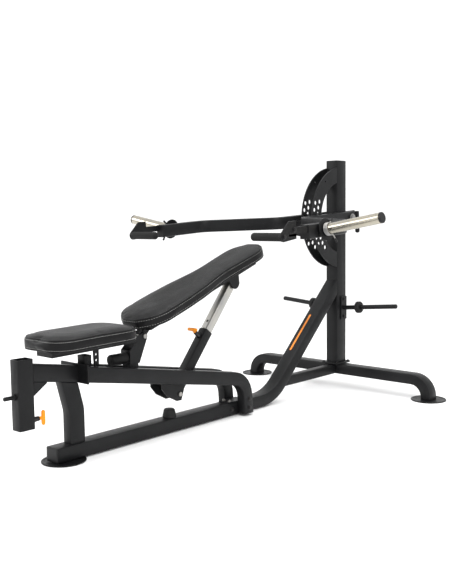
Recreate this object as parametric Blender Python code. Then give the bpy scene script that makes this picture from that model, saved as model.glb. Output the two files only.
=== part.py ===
"""Plate-loaded lever press bench with an adjustable seat and back rest.

Metres, +Z up. +X is the machine's right side, +Y runs from the seat end to the upright.
The rest pose has the back pad inclined and both lever arms lying on the carriage's stops.
Everything is laid out along Y from the upright's front face (Y = 0), and SHIFT_Y then moves
the whole machine so that the origin is the centre of its footprint, on the floor.
"""
import math

import bmesh
import bpy
from mathutils import Matrix, Vector
from mathutils.geometry import tessellate_polygon

# ---------------------------------------------------------------- driving dimensions
TOUCH = 0.0003                 # gap between pieces that touch
RUN = 0.0005                   # radial clearance of a pin or a shaft in its hole
SLIDE = 0.0012                 # clearance each side of the telescoping tubes
WALL = 0.003                   # wall of the frame tubes
CORNER = 0.006                 # outer corner radius of the frame tubes

UPRIGHT_WIDTH = 0.076
UPRIGHT_DEPTH = 0.090
UPRIGHT_TOP = 1.288
FOOT_RADIUS = 0.0925
FOOT_FLOOR = 0.0035
FOOT_RIM = 0.0057
FOOT_RIM_WIDTH = 0.008
REAR_FOOT_X = 0.599
FRONT_FOOT_INSET = 0.054       # foot centre behind the front rail's end

RAIL_WIDTH = 0.077
RAIL_HEIGHT = 0.062
RAIL_FRONT_Y = -1.941
RAIL_JOINT_Y = -0.850
BRACE_ANGLE = math.radians(43.5)
BRACE_TOP_Z = 0.574            # brace centre line at the upright's front face
BRACE_BEND = 0.250

REAR_RAIL_WIDTH = 0.048
REAR_RAIL_HEIGHT = 0.052
REAR_RAIL_Z = 0.103
CROSS_DEPTH = 0.076
CROSS_HEIGHT = 0.056
CROSS_Y = 0.040
CROSS_BEND = 0.088
BASE_PLATE_THICK = 0.010
BASE_PLATE_MARGIN = 0.017

SELECTOR_OUTER = 0.283
SELECTOR_INNER = 0.200
SELECTOR_THICK = 0.008
PIVOT_Y = 0.050
PIVOT_Z = 0.973
PIVOT_SHAFT_R = 0.015
HOLE_R = 0.0125
HOLE_PITCH = math.radians(8.5)
OUTER_ROW_R = 0.263
OUTER_ROW_TOP = math.radians(18.1)
OUTER_ROW_COUNT = 7
INNER_ROW_R = 0.230
INNER_ROW_TOP = math.radians(22.6)
INNER_ROW_COUNT = 9
STOP_HOLE_R = 0.006
STOP_HOLE_ANGLE = math.radians(51.0)
STOP_HOLE_RADIUS = 0.254

LEG_WIDTH = 0.050
LEG_DEPTH = 0.077
LEG_Y = -1.8305
LEG_KNEE_Z = 0.205
LEG_TOP_Y = -1.869
CENTER_BEAM_WIDTH = 0.050
CENTER_BEAM_HEIGHT = 0.070
CENTER_BEAM_SLOPE = math.radians(9.6)
CENTER_BEAM_FRONT_Z = 0.390
RECEIVER_WIDTH = 0.057
RECEIVER_DEPTH = 0.071
RECEIVER_FRONT_Y = -2.107
RECEIVER_BOTTOM = 0.169
RECEIVER_TOP = 0.448
PEG_R = 0.0085
PEG_LENGTH = 0.050
PEG_Z = 0.303
GUSSET_LENGTH = 0.065
GUSSET_DROP = 0.055

SIDE_BEAM_WIDTH = 0.050
SIDE_BEAM_HEIGHT = 0.065
SIDE_BEAM_X = 0.065
SIDE_BEAM_SLOPE = math.radians(10.0)
SIDE_BEAM_FRONT_Y = -1.815
SIDE_BEAM_FRONT_Z = 0.357
SIDE_BEAM_REAR_Y = -0.828
SIDE_BEAM_REAR_Z = 0.012
SIDE_BEAM_BEND = 0.105
CROSS_PLATE_THICK = 0.006

SEAT_POST_Y = -1.768
SEAT_POST_WIDTH = 0.050
SEAT_POST_DEPTH = 0.040
SEAT_POST_TOP = 0.424
SUPPORT_Y = -1.518
SUPPORT_WIDTH = 0.050
SUPPORT_DEPTH = 0.055
SUPPORT_TOP = 0.414
STUB_R = 0.025
STUB_LENGTH = 0.088
STUB_Z = 0.380

HINGE_Y = -1.465               # back rest and seat hinge bolt
HINGE_Z = 0.470
HINGE_R = 0.006
EAR_THICK = 0.006
EAR_CLEAR = 0.0057              # clevis ear beside the inner tube
BACK_ANGLE = math.radians(19.6)
BACK_PAD_START = -0.035
BACK_PAD_LENGTH = 0.908
BACK_PAD_RISE = 0.0395
BACK_PAD_THICK = 0.062
BACK_PAD_WIDE = 0.143
BACK_PAD_NARROW = 0.110
BACK_PAD_WAIST = 0.010
BACK_RAIL_X = 0.045
BACK_RAIL_WIDTH = 0.020
BACK_RAIL_HEIGHT = 0.024
BACK_RAIL_END = 0.790

SEAT_ANGLE = math.radians(1.2)
SEAT_PAD_START = 0.090         # pad's rear edge, ahead of the hinge
SEAT_PAD_LENGTH = 0.450
SEAT_PAD_RISE = 0.004
SEAT_PAD_THICK = 0.068
SEAT_PAD_HALF = 0.147
SEAT_RAIL_X = 0.052
SEAT_RAIL_WIDTH = 0.030
SEAT_RAIL_HEIGHT = 0.022
SEAT_RAIL_FRONT = 0.500

POST_FOOT_Y = -1.258           # lower pivot of the telescoping post
POST_FOOT_Z = 0.176
POST_SIZE = 0.050
POST_LENGTH = 0.344
POST_BELOW = 0.018
INNER_SIZE = POST_SIZE - 2 * WALL - 2 * SLIDE
INNER_LENGTH = 0.480
INNER_ABOVE = 0.016
INNER_HOLE_R = 0.0065
INNER_HOLE_PITCH = 0.045
INNER_HOLE_COUNT = 6
CLEVIS_ALONG = 0.636           # upper pivot in the back frame: along the pad, and below it
CLEVIS_BELOW = 0.0228
CLEVIS_BOLT_R = 0.006

PIN_R = 0.0055
PIN_TRAVEL = 0.012
PIN_BODY_R = 0.0125
PIN_BODY_LENGTH = 0.034
KNOB_R = 0.008
KNOB_HALF = 0.030
KNOB_NECK = 0.020
RECEIVER_PIN_Z = 0.200
POST_PIN_DOWN = 0.045          # pull pin below the outer tube's mouth

ARM_TILT = math.radians(3.6)   # arms and carriage hang this far below the horizontal
ARM_WIDTH = 0.050
ARM_HEIGHT = 0.065
ARM_GAP = 0.0025               # arm beside the carriage plate
ARM_OUTER_X = 0.476
ARM_TAIL_Y = 0.035             # arm end behind the pivot
ARM_BEND_IN = -0.420           # arm bends, along Y from the pivot
ARM_BEND_OUT = -0.615
ARM_FRONT = -0.930
ARM_BEND_R = 0.090
ARM_CLEAR = 0.0015             # arm above its stop on the carriage

CARRIAGE_GAP = 0.0035           # carriage plate beside the upright
CARRIAGE_THICK = 0.008
CARRIAGE_UP = 0.034
CARRIAGE_DOWN = 0.090
CARRIAGE_NOSE = 0.335           # front of the carriage, ahead of the pivot
CARRIAGE_NOSE_LOW = 0.073
CARRIAGE_NOSE_THICK = 0.012
CARRIAGE_TAIL = 0.122
CARRIAGE_TAIL_LOW = -0.002
TAB_THICK = 0.008
TAB_START = -0.110
TAB_END = -0.070
TAIL_BAR_BACK = 0.105
ROD_R = 0.013
ROD_LENGTH = 0.125
CARRIAGE_PIN_ROW = 6           # hole of the inner row that the carriage stands at

HORN_R = 0.025
HORN_WALL = 0.004
HORN_LENGTH = 0.300
HORN_TILT = math.radians(10.0)
HORN_Y = -0.820
FLANGE_R = 0.0525
FLANGE_THICK = 0.006
FLANGE_STAND = 0.008
CAP_THICK = 0.010
COLLAR_R = 0.0325
COLLAR_WIDTH = 0.024

BRACKET_THICK = 0.008
BRACKET_X = 0.493
BRACKET_TALL = 0.065            # bracket's top above the handle
HANDLE_R = 0.019
HANDLE_Y = -1.110
HANDLE_DROP = 0.007
HANDLE_REACH = 0.173

STORE_Z = 0.456
STORE_Y = 0.058
STORE_R = 0.0125
STORE_TIP_X = 0.392
STORE_TILT = math.radians(4.8)
STORE_PLATE_THICK = 0.008
STORE_PLATE_HALF = 0.026
STORE_PLATE_TALL = 0.066
STORE_COLLAR_X = {'left': 0.172, 'right': 0.147}
STORE_COLLAR_R = 0.033
STORE_COLLAR_WIDTH = 0.026

BUMPER_Y = -1.291
BUMPER_R = 0.032
BUMPER_TOP_R = 0.026
BUMPER_HEIGHT = 0.040

ROUND = 20                     # facets of a small round piece
ROUND_LARGE = 32

# ---------------------------------------------------------------- derived places
FRONT_END_Y = RECEIVER_FRONT_Y - PEG_LENGTH
ROD_DROP = ROD_LENGTH - 0.008 - CARRIAGE_UP / 2 - 0.012
REAR_END_Y = (PIVOT_Y + (TAIL_BAR_BACK + ROD_R * math.cos(math.pi / 16)) * math.cos(ARM_TILT)
              + ROD_DROP * math.sin(ARM_TILT))
SHIFT_Y = -(FRONT_END_Y + REAR_END_Y) / 2
SHIFT = Vector((0, SHIFT_Y, 0))
RAIL_BOTTOM = FOOT_RIM + TOUCH
RAIL_Z = RAIL_BOTTOM + RAIL_HEIGHT / 2
RAIL_TOP = RAIL_BOTTOM + RAIL_HEIGHT
CROSS_Z = REAR_RAIL_Z + (CROSS_HEIGHT - REAR_RAIL_HEIGHT) / 2
CROSS_FRONT_Y = CROSS_Y - CROSS_DEPTH / 2
CROSS_TOP = CROSS_Z + CROSS_HEIGHT / 2
BASE_PLATE_TOP = CROSS_TOP + TOUCH + BASE_PLATE_THICK
UPRIGHT_BOTTOM = BASE_PLATE_TOP + TOUCH
UPRIGHT_X = UPRIGHT_WIDTH / 2
UPRIGHT_Y = UPRIGHT_DEPTH / 2
RECEIVER_REAR_Y = RECEIVER_FRONT_Y + RECEIVER_DEPTH
RECEIVER_Y = RECEIVER_FRONT_Y + RECEIVER_DEPTH / 2
SELECTOR_X = UPRIGHT_X - SELECTOR_THICK / 2
PIVOT = Vector((0, PIVOT_Y, PIVOT_Z))
HINGE = Vector((0, HINGE_Y, HINGE_Z))
POST_FOOT = Vector((0, POST_FOOT_Y, POST_FOOT_Z))
CLEVIS = HINGE + Matrix.Rotation(BACK_ANGLE, 3, 'X') @ Vector((0, CLEVIS_ALONG, -CLEVIS_BELOW))
POST_REACH = (CLEVIS - POST_FOOT).length
POST_ANGLE = math.atan2(CLEVIS.z - POST_FOOT.z, CLEVIS.y - POST_FOOT.y)
ARM_FACE_X = ARM_OUTER_X + ARM_WIDTH / 2
CARRIAGE_X = UPRIGHT_WIDTH / 2 + CARRIAGE_GAP
CARRIAGE_OUT = CARRIAGE_X + CARRIAGE_THICK
ARM_INNER_X = CARRIAGE_OUT + ARM_GAP + ARM_WIDTH / 2
EAR_INNER_X = INNER_SIZE / 2 + EAR_CLEAR
CARRIAGE_PIN_ANGLE = INNER_ROW_TOP - (CARRIAGE_PIN_ROW - 1) * HOLE_PITCH + ARM_TILT
SIDES = (('left', -1), ('right', 1))


# ---------------------------------------------------------------- scene helpers
def clear_scene():
    for obj in list(bpy.data.objects):
        bpy.data.objects.remove(obj, do_unlink=True)


def make_material(name, colour, roughness, metallic=0.0):
    material = bpy.data.materials.new(name)
    material.use_nodes = True
    shader = material.node_tree.nodes['Principled BSDF']
    shader.inputs['Base Color'].default_value = (*colour, 1)
    shader.inputs['Roughness'].default_value = roughness
    shader.inputs['Metallic'].default_value = metallic
    return material


def make_empty(name, place, tilt=0.0):
    """An unrendered axis: pieces parented to it are modelled level and turned as one."""
    empty = bpy.data.objects.new(name, None)
    empty.location = place + SHIFT
    empty.rotation_euler = (tilt, 0, 0)
    bpy.context.collection.objects.link(empty)
    return empty


def finish(mesh, name, material, place=None, parent=None):
    """Make an object of a bmesh; its vertices are relative to its place or its parent."""
    bmesh.ops.remove_doubles(mesh, verts=mesh.verts, dist=0.000001)
    bmesh.ops.recalc_face_normals(mesh, faces=mesh.faces)
    data = bpy.data.meshes.new(name)
    mesh.to_mesh(data)
    mesh.free()
    data.shade_smooth()
    data.set_sharp_from_angle(angle=math.radians(35))
    data.materials.append(material)
    obj = bpy.data.objects.new(name, data)
    bpy.context.collection.objects.link(obj)
    if parent:
        obj.parent = parent
        obj.location = place if place else (0, 0, 0)
    else:
        obj.location = (place if place else Vector()) + SHIFT
    return obj


def hide_cutter(obj):
    obj.hide_render = True
    obj.display_type = 'WIRE'
    return obj


def boolean(target, tool, operation):
    modifier = target.modifiers.new(tool.name, 'BOOLEAN')
    modifier.solver = 'EXACT'
    modifier.operation = operation
    modifier.object = hide_cutter(tool)


# ---------------------------------------------------------------- shape helpers
def rounded_section(across, along, corner, steps=2):
    """Rounded rectangle, counter-clockwise; a corner of half the width gives a circle."""
    corner = min(corner, across / 2, along / 2)
    points = []
    for index, (sx, sy) in enumerate(((1, 1), (-1, 1), (-1, -1), (1, -1))):
        cx = sx * (across / 2 - corner)
        cy = sy * (along / 2 - corner)
        for step in range(steps + 1):
            angle = math.pi / 2 * (index + step / steps)
            points.append((cx + corner * math.cos(angle), cy + corner * math.sin(angle)))
    return points


def circle(radius, facets, start=0.0):
    turn = 2 * math.pi / facets
    return [(radius * math.cos(start + turn * i), radius * math.sin(start + turn * i))
            for i in range(facets)]


def bend_path(points, radius, steps=6):
    """Corner points to a path whose inner corners are arcs of the given radius."""
    points = [Vector(p) for p in points]
    path = [points[0]]
    for before, corner, after in zip(points, points[1:], points[2:]):
        back = (before - corner).normalized()
        ahead = (after - corner).normalized()
        half = back.angle(ahead) / 2
        centre = corner + (back + ahead).normalized() * (radius / math.sin(half))
        start = corner + back * (radius / math.tan(half)) - centre
        turn = math.pi - 2 * half
        axis = back.cross(start).normalized()
        for step in range(steps + 1):
            path.append(centre + Matrix.Rotation(turn * step / steps, 3, axis) @ start)
    path.append(points[-1])
    return path


def sweep(path, section, side, start_plane=None, end_plane=None):
    """Rings of a section along a flat path. side is the path plane's normal.
    A plane (point, normal) cuts that end of the sweep."""
    rings = []
    last = len(path) - 1
    for index, point in enumerate(path):
        before = (point - path[index - 1]).normalized() if index else None
        after = (path[index + 1] - point).normalized() if index < last else None
        tangent = ((before or after) + (after or before)).normalized()
        across = Vector(side).cross(tangent).normalized()
        stretch = 1 / max(0.2, tangent.dot(before or after))
        ring = [point + Vector(side) * u + across * (v * stretch) for u, v in section]
        plane = start_plane if index == 0 else end_plane if index == last else None
        if plane:
            normal = Vector(plane[1])
            ring = [p + tangent * ((Vector(plane[0]) - p).dot(normal) / tangent.dot(normal))
                    for p in ring]
        rings.append(ring)
    return rings


def add_rings(mesh, rings):
    return [[mesh.verts.new(p) for p in ring] for ring in rings]


def skin(mesh, rows):
    for low, high in zip(rows, rows[1:]):
        count = len(low)
        for i in range(count):
            j = (i + 1) % count
            mesh.faces.new((low[i], low[j], high[j], high[i]))


def tube_mesh(path, across, along, side=(1, 0, 0), wall=WALL, corner=CORNER, steps=2,
              start_plane=None, end_plane=None):
    """Hollow tube with open ends. across is its size along side, along is its other size."""
    mesh = bmesh.new()
    outer_section = rounded_section(across, along, corner, steps)
    inner_corner = max(corner - wall, 0.0008)
    inner_section = rounded_section(across - 2 * wall, along - 2 * wall, inner_corner, steps)
    outer = add_rings(mesh, sweep(path, outer_section, side, start_plane, end_plane))
    inner = add_rings(mesh, sweep(path, inner_section, side, start_plane, end_plane))
    skin(mesh, outer)
    skin(mesh, inner)
    skin(mesh, [outer[0], inner[0]])
    skin(mesh, [outer[-1], inner[-1]])
    return mesh


def stack_mesh(rings):
    """Closed solid through a stack of rings, capped at both ends."""
    mesh = bmesh.new()
    rows = add_rings(mesh, rings)
    skin(mesh, rows)
    mesh.faces.new(rows[0])
    mesh.faces.new(rows[-1])
    return mesh


def box_mesh(low, high):
    (x0, y0, z0), (x1, y1, z1) = low, high
    base = ((x0, y0), (x1, y0), (x1, y1), (x0, y1))
    return stack_mesh([[(x, y, z) for x, y in base] for z in (z0, z1)])


def plate_mesh(outline, thickness, holes=(), centre_x=0.0):
    """Plate in the Y-Z plane. outline and holes are (y, z) loops."""
    loops = [[Vector((0, y, z)) for y, z in loop] for loop in (outline, *holes)]
    triangles = tessellate_polygon(loops)
    flat = [point for loop in loops for point in loop]
    mesh = bmesh.new()
    faces = []
    for offset in (-thickness / 2, thickness / 2):
        verts = [mesh.verts.new(p + Vector((centre_x + offset, 0, 0))) for p in flat]
        for triangle in triangles:
            mesh.faces.new([verts[i] for i in triangle])
        faces.append(verts)
    start = 0
    for loop in loops:
        count = len(loop)
        for i in range(count):
            a, b = start + i, start + (i + 1) % count
            mesh.faces.new((faces[0][a], faces[0][b], faces[1][b], faces[1][a]))
        start += count
    return mesh


def turn_mesh(profile, start, direction, facets=ROUND, ring=False, base_plane=None):
    """Turned piece: profile is (radius, distance) along direction from start.
    ring closes the profile on itself; otherwise both ends are capped."""
    direction = Vector(direction).normalized()
    frame = direction.to_track_quat('Z', 'Y').to_matrix()
    mesh = bmesh.new()
    rows = []
    for radius, distance in profile:
        points = [Vector(start) + frame @ Vector((x, y, distance))
                  for x, y in circle(radius, facets, math.pi / facets)]
        if base_plane and distance <= 0:
            normal = Vector(base_plane[1])
            reach = direction.dot(normal)
            points = [p + direction * ((Vector(base_plane[0]) - p).dot(normal) / reach)
                      for p in points]
        rows.append([mesh.verts.new(p) for p in points])
    if ring:
        rows.append(rows[0])
    skin(mesh, rows)
    if not ring:
        mesh.faces.new(rows[0])
        mesh.faces.new(rows[-1])
    return mesh


def rod_mesh(start, end, radius, facets=ROUND, chamfer=0.001):
    length = (Vector(end) - Vector(start)).length
    chamfer = min(chamfer, radius / 3)
    profile = [(radius - chamfer, 0), (radius, chamfer),
               (radius, length - chamfer), (radius - chamfer, length)]
    return turn_mesh(profile, start, Vector(end) - Vector(start), facets)


def bolt_mesh(half_grip, radius, place, head_thick=0.006, head_scale=1.75):
    """Bolt across the machine with a head at one end and a nut at the other, as one piece."""
    head = radius * head_scale
    end = half_grip + head_thick
    profile = [(head, -end), (head, -half_grip), (radius, -half_grip),
               (radius, half_grip), (head, half_grip), (head, end)]
    return turn_mesh(profile, place, (1, 0, 0), 12)


def arc(centre, radius, start, end, steps):
    return [(centre[0] + radius * math.cos(start + (end - start) * i / steps),
             centre[1] + radius * math.sin(start + (end - start) * i / steps))
            for i in range(steps + 1)]


def cut_hole(target, start, end, radius, parent=None, facets=ROUND):
    """Round hole through a piece, from start to end."""
    name = 'cut_' + target.name + '_' + str(len(target.modifiers))
    mesh = turn_mesh([(radius, 0), (radius, (Vector(end) - Vector(start)).length)],
                     start, Vector(end) - Vector(start), facets)
    boolean(target, finish(mesh, name, MATERIALS['coat'], parent=parent), 'DIFFERENCE')


# ---------------------------------------------------------------- floor frame
def build_floor_frame():
    coat = MATERIALS['coat']
    rail_path = [Vector((0, RAIL_FRONT_Y, RAIL_Z)), Vector((0, RAIL_JOINT_Y - TOUCH, RAIL_Z))]
    finish(tube_mesh(rail_path, RAIL_WIDTH, RAIL_HEIGHT), 'front_rail', coat)

    slope = math.tan(BRACE_ANGLE)
    knee_y = (RAIL_Z - BRACE_TOP_Z) / slope
    brace_path = bend_path([(0, RAIL_JOINT_Y + TOUCH, RAIL_Z), (0, knee_y, RAIL_Z),
                            (0, -TOUCH, BRACE_TOP_Z)], BRACE_BEND, 8)
    front_face = (Vector((0, -TOUCH, 0)), (0, 1, 0))
    finish(tube_mesh(brace_path, RAIL_WIDTH, RAIL_HEIGHT, end_plane=front_face), 'brace', coat)

    brace_normal = Vector((0, math.sin(BRACE_ANGLE), -math.cos(BRACE_ANGLE)))
    brace_under = Vector((0, 0, BRACE_TOP_Z)) + brace_normal * (RAIL_HEIGHT / 2 + TOUCH)
    rear_path = [Vector((0, knee_y, REAR_RAIL_Z)),
                 Vector((0, CROSS_FRONT_Y - TOUCH, REAR_RAIL_Z))]
    finish(tube_mesh(rear_path, REAR_RAIL_WIDTH, REAR_RAIL_HEIGHT,
                     start_plane=(brace_under, brace_normal)), 'rear_rail', coat)

    foot_top = FOOT_FLOOR + TOUCH
    cross_path = bend_path([(-REAR_FOOT_X, CROSS_Y, foot_top), (-REAR_FOOT_X, CROSS_Y, CROSS_Z),
                            (REAR_FOOT_X, CROSS_Y, CROSS_Z), (REAR_FOOT_X, CROSS_Y, foot_top)],
                           CROSS_BEND, 7)
    finish(tube_mesh(cross_path, CROSS_DEPTH, CROSS_HEIGHT, side=(0, 1, 0)),
           'rear_crossbeam', coat)

    feet = (('left', -REAR_FOOT_X, CROSS_Y), ('right', REAR_FOOT_X, CROSS_Y),
            ('front', 0, RAIL_FRONT_Y + FRONT_FOOT_INSET))
    rim = FOOT_RADIUS - FOOT_RIM_WIDTH
    profile = [(FOOT_RADIUS - 0.001, 0), (FOOT_RADIUS, 0.001), (FOOT_RADIUS, FOOT_RIM - 0.001),
               (FOOT_RADIUS - 0.001, FOOT_RIM), (rim, FOOT_RIM), (rim - 0.002, FOOT_FLOOR)]
    for name, x, y in feet:
        finish(turn_mesh(profile, (x, y, 0), (0, 0, 1), ROUND_LARGE), 'foot_disc_' + name, coat)

    plate_low = (-UPRIGHT_X - BASE_PLATE_MARGIN, -BASE_PLATE_MARGIN, CROSS_TOP + TOUCH)
    plate_high = (UPRIGHT_X + BASE_PLATE_MARGIN, UPRIGHT_DEPTH + BASE_PLATE_MARGIN, BASE_PLATE_TOP)
    finish(box_mesh(plate_low, plate_high), 'base_plate', coat)

    upright_path = [Vector((0, UPRIGHT_Y, UPRIGHT_BOTTOM)), Vector((0, UPRIGHT_Y, UPRIGHT_TOP))]
    upright = finish(tube_mesh(upright_path, UPRIGHT_WIDTH, UPRIGHT_DEPTH), 'upright', coat)
    reach = Vector((UPRIGHT_WIDTH, 0, 0))
    cut_hole(upright, PIVOT - reach, PIVOT + reach, PIVOT_SHAFT_R + RUN)
    low = UPRIGHT_TOP + TOUCH
    slabs = ((0.001, low), (0, low + 0.001), (0, low + 0.003), (0.003, low + 0.005))
    rings = [[(x, y + UPRIGHT_Y, z) for x, y in
              rounded_section(UPRIGHT_WIDTH - 2 * inset, UPRIGHT_DEPTH - 2 * inset, CORNER)]
             for inset, z in slabs]
    finish(stack_mesh(rings), 'upright_cap', MATERIALS['plastic'])


def build_seat_end():
    coat = MATERIALS['coat']
    receiver_path = [Vector((0, RECEIVER_Y, RECEIVER_BOTTOM)),
                     Vector((0, RECEIVER_Y, RECEIVER_TOP))]
    receiver = finish(tube_mesh(receiver_path, RECEIVER_WIDTH, RECEIVER_DEPTH),
                      'receiver_post', coat)
    pin_from = Vector((0, RECEIVER_REAR_Y - 2 * WALL, RECEIVER_PIN_Z))
    cut_hole(receiver, pin_from, pin_from + Vector((0, 4 * WALL, 0)), PIN_R + RUN)
    peg_root = Vector((0, RECEIVER_FRONT_Y, PEG_Z))
    profile = [(PEG_R * 1.5, -WALL / 2), (PEG_R * 1.5, 0.008), (PEG_R, 0.010),
               (PEG_R, PEG_LENGTH - 0.003), (PEG_R - 0.003, PEG_LENGTH)]
    peg = finish(turn_mesh(profile, peg_root, (0, -1, 0)), 'join_peg', coat)
    boolean(receiver, peg, 'UNION')

    rise = math.tan(CENTER_BEAM_SLOPE)
    beam_end_y = SIDE_BEAM_FRONT_Y - TOUCH - CROSS_PLATE_THICK
    beam_start = Vector((0, RECEIVER_REAR_Y + TOUCH, CENTER_BEAM_FRONT_Z))
    beam_end = beam_start + Vector((0, beam_end_y - beam_start.y, 0))
    beam_end.z -= rise * (beam_end.y - beam_start.y)
    beam = finish(tube_mesh([beam_start, beam_end], CENTER_BEAM_WIDTH, CENTER_BEAM_HEIGHT,
                            start_plane=(beam_start, (0, 1, 0)),
                            end_plane=(beam_end, (0, 1, 0))), 'center_beam', coat)
    plate_x = SIDE_BEAM_X + SIDE_BEAM_WIDTH / 2
    plate_top = SIDE_BEAM_FRONT_Z + SIDE_BEAM_HEIGHT / 2 + 0.008
    plate = box_mesh((-plate_x, beam_end_y - 0.001, beam_end.z - CENTER_BEAM_HEIGHT / 2),
                     (plate_x, SIDE_BEAM_FRONT_Y - TOUCH, plate_top))
    boolean(beam, finish(plate, 'join_cross_plate', coat), 'UNION')

    half_drop = CENTER_BEAM_HEIGHT / 2 / math.cos(CENTER_BEAM_SLOPE) + TOUCH
    beam_normal = Vector((0, math.sin(CENTER_BEAM_SLOPE), math.cos(CENTER_BEAM_SLOPE)))
    beam_under = beam_start - Vector((0, 0, half_drop))
    leg_path = bend_path([(0, LEG_Y, RAIL_TOP + TOUCH), (0, LEG_Y, LEG_KNEE_Z),
                          (0, LEG_TOP_Y, beam_under.z)], 0.150, 5)
    finish(tube_mesh(leg_path, LEG_WIDTH, LEG_DEPTH, end_plane=(beam_under, beam_normal)),
           'front_leg', coat)

    corner = Vector((0, beam_start.y, beam_under.z))
    far = corner + Vector((0, GUSSET_LENGTH, -rise * GUSSET_LENGTH))
    low = corner - Vector((0, 0, GUSSET_DROP))
    outline = [(corner.y, corner.z), (far.y, far.z), (low.y, low.z)]
    gusset = finish(plate_mesh(outline, CENTER_BEAM_WIDTH), 'receiver_gusset', coat)
    hollow = [(y - 2 * WALL, z + 2 * WALL) for y, z in outline]
    boolean(gusset, finish(plate_mesh(hollow, CENTER_BEAM_WIDTH - 2 * WALL), 'cut_gusset', coat),
            'DIFFERENCE')


def side_beam_top(y):
    """Height of the side beams' top face on their straight stretch."""
    half = SIDE_BEAM_HEIGHT / 2 / math.cos(SIDE_BEAM_SLOPE)
    return SIDE_BEAM_FRONT_Z + half - math.tan(SIDE_BEAM_SLOPE) * (y - SIDE_BEAM_FRONT_Y)


def build_side_beams():
    coat = MATERIALS['coat']
    knee_y = SIDE_BEAM_REAR_Y - 0.014
    knee_z = SIDE_BEAM_FRONT_Z - math.tan(SIDE_BEAM_SLOPE) * (knee_y - SIDE_BEAM_FRONT_Y)
    for name, sign in SIDES:
        x = sign * SIDE_BEAM_X
        path = bend_path([(x, SIDE_BEAM_FRONT_Y, SIDE_BEAM_FRONT_Z), (x, knee_y, knee_z),
                          (x, SIDE_BEAM_REAR_Y, SIDE_BEAM_REAR_Z)], SIDE_BEAM_BEND, 7)
        finish(tube_mesh(path, SIDE_BEAM_WIDTH, SIDE_BEAM_HEIGHT,
                         start_plane=(path[0], (0, 1, 0)), end_plane=(path[-1], (0, 0, 1))),
               'side_beam_' + name, coat)


def build_bench_supports():
    """Seat post and rear support stand between the side beams, on small cross pieces."""
    coat = MATERIALS['coat']
    gap_half = SIDE_BEAM_X - SIDE_BEAM_WIDTH / 2 - TOUCH
    posts = []
    for name, y, width, depth, top in (
            ('seat_post', SEAT_POST_Y, SEAT_POST_WIDTH, SEAT_POST_DEPTH, SEAT_POST_TOP),
            ('seat_support', SUPPORT_Y, SUPPORT_WIDTH, SUPPORT_DEPTH, SUPPORT_TOP)):
        bottom = side_beam_top(y) - SIDE_BEAM_HEIGHT
        path = [Vector((0, y, bottom)), Vector((0, y, top))]
        post = finish(tube_mesh(path, width, depth), name, coat)
        posts.append(post)
        mesh = box_mesh((-gap_half, y - depth / 2 + WALL, bottom + 0.010),
                        (gap_half, y + depth / 2 - WALL, bottom + 0.018))
        boolean(post, finish(mesh, 'cut_' + name, coat), 'UNION')

    stub_y = SUPPORT_Y - SUPPORT_DEPTH / 2 - TOUCH
    finish(turn_mesh([(STUB_R, 0), (STUB_R, STUB_LENGTH - 0.006), (STUB_R - 0.002,
                      STUB_LENGTH - 0.002), (STUB_R - 0.006, STUB_LENGTH)],
                     (0, stub_y, STUB_Z), (0, -1, 0), 24), 'seat_stub', MATERIALS['rubber'])

    ear_outline = [(SUPPORT_Y - SUPPORT_DEPTH / 2, SUPPORT_TOP - 0.060),
                   (SUPPORT_Y + SUPPORT_DEPTH / 2, SUPPORT_TOP - 0.060),
                   (HINGE_Y + 0.020, HINGE_Z - 0.012)]
    ear_outline += arc((HINGE_Y, HINGE_Z), 0.020, math.radians(0), math.radians(180), 8)
    ear_outline += [(SUPPORT_Y - SUPPORT_DEPTH / 2, SUPPORT_TOP)]
    hole = [(HINGE_Y + y, HINGE_Z + z) for y, z in circle(HINGE_R + RUN, 16)]
    for name, sign in SIDES:
        x = sign * (SUPPORT_WIDTH / 2 - TOUCH + EAR_THICK / 2)
        ear = finish(plate_mesh(ear_outline, EAR_THICK, [hole], x), 'join_ear_' + name, coat)
        boolean(posts[1], ear, 'UNION')


# ---------------------------------------------------------------- upright's fittings
def build_selector():
    """Two half rings on the upright's front face, with two staggered rows of holes."""
    front = PIVOT_Y + TOUCH
    outer_end = math.acos(front / SELECTOR_OUTER)
    inner_end = math.acos(front / SELECTOR_INNER)
    centre = (PIVOT_Y, PIVOT_Z)
    outline = arc(centre, SELECTOR_OUTER, math.pi - outer_end, math.pi + outer_end, 30)
    outline += arc(centre, SELECTOR_INNER, math.pi + inner_end, math.pi - inner_end, 22)

    def hole_at(radius, angle, size, facets):
        y = PIVOT_Y - radius * math.cos(angle)
        z = PIVOT_Z + radius * math.sin(angle)
        return [(y + dy, z + dz) for dy, dz in circle(size, facets)]

    holes = [hole_at(OUTER_ROW_R, OUTER_ROW_TOP - i * HOLE_PITCH, HOLE_R, 10)
             for i in range(OUTER_ROW_COUNT)]
    holes += [hole_at(INNER_ROW_R, INNER_ROW_TOP - i * HOLE_PITCH, HOLE_R, 10)
              for i in range(INNER_ROW_COUNT)]
    holes.append(hole_at(STOP_HOLE_RADIUS, STOP_HOLE_ANGLE, STOP_HOLE_R, 8))
    for name, sign in SIDES:
        finish(plate_mesh(outline, SELECTOR_THICK, holes, sign * SELECTOR_X),
               'selector_plate_' + name, MATERIALS['coat'])
    half = ARM_INNER_X + ARM_WIDTH / 2 + 0.006
    finish(rod_mesh(PIVOT - Vector((half, 0, 0)), PIVOT + Vector((half, 0, 0)),
                    PIVOT_SHAFT_R, 24), 'pivot_shaft', MATERIALS['steel'])


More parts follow.
